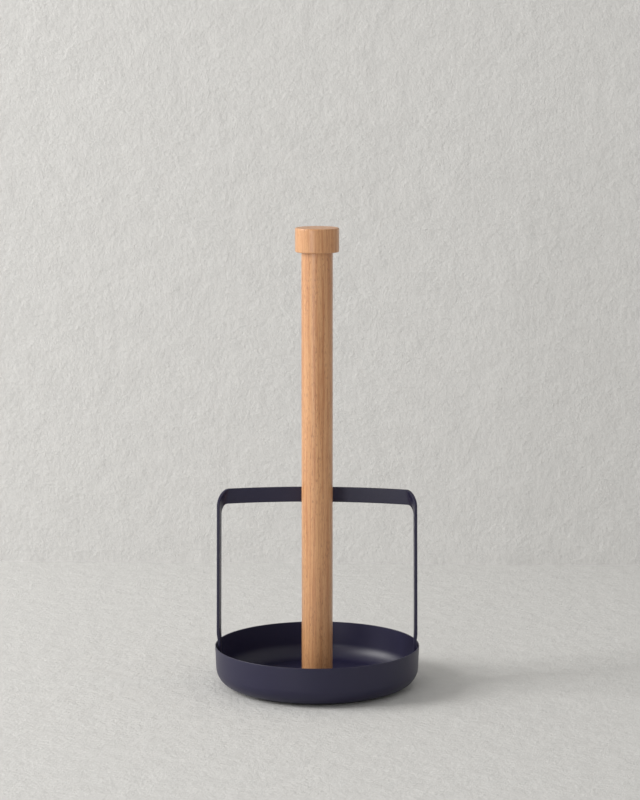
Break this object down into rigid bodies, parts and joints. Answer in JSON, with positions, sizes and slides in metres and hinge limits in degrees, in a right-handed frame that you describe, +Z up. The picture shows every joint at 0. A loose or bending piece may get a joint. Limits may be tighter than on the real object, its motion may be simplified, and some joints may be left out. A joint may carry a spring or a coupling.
{
  "type": "paper towel holder",
  "caption": "Free-standing paper towel holder: low round steel tray, upright wooden post with a turned cap, and a pivoting strap bail that leans on the roll.",
  "frame": {"origin": "on the table, at the middle of the pad's underside, under the post's axis", "axes": "+Z up along the post, +X to the right along the bail's pivot line, -Y to the front"},
  "size_m": [0.165, 0.165, 0.3703],
  "materials": {
    "powder_coat": "matt navy-black powder coat with a fine texture",
    "beech_post": "natural beech, lightly oiled, long straight grain with short dark flecks",
    "beech_cap": "natural beech, lightly oiled, end grain on the top",
    "dowel_wood": "plain fluted hardwood, unfinished",
    "zinc_steel": "bright zinc plate",
    "insert_brass": "turned brass",
    "dark_nylon": "dark moulded nylon",
    "pad_foam": "matt closed-cell foam"
  },
  "bodies": {
    "base": {"non_slip_pad": "pad_foam", "tray": "powder_coat", "base_screw": "zinc_steel", "threaded_insert": "insert_brass", "post": "beech_post", "cap_dowel": "dowel_wood", "cap": "beech_cap", "left_pivot_pin": "zinc_steel", "left_friction_washer": "dark_nylon", "left_domed_nut": "powder_coat", "right_pivot_pin": "zinc_steel", "right_friction_washer": "dark_nylon", "right_domed_nut": "powder_coat"},
    "arm": {"bail": "powder_coat"}
  },
  "joints": [
    {"name": "bail_swing", "type": "hinge", "parent": "base", "child": "arm", "pos_m": [0, 0, 0.019], "axis": [-1, 0, 0], "range_deg": [-1, 24]}
  ]
}
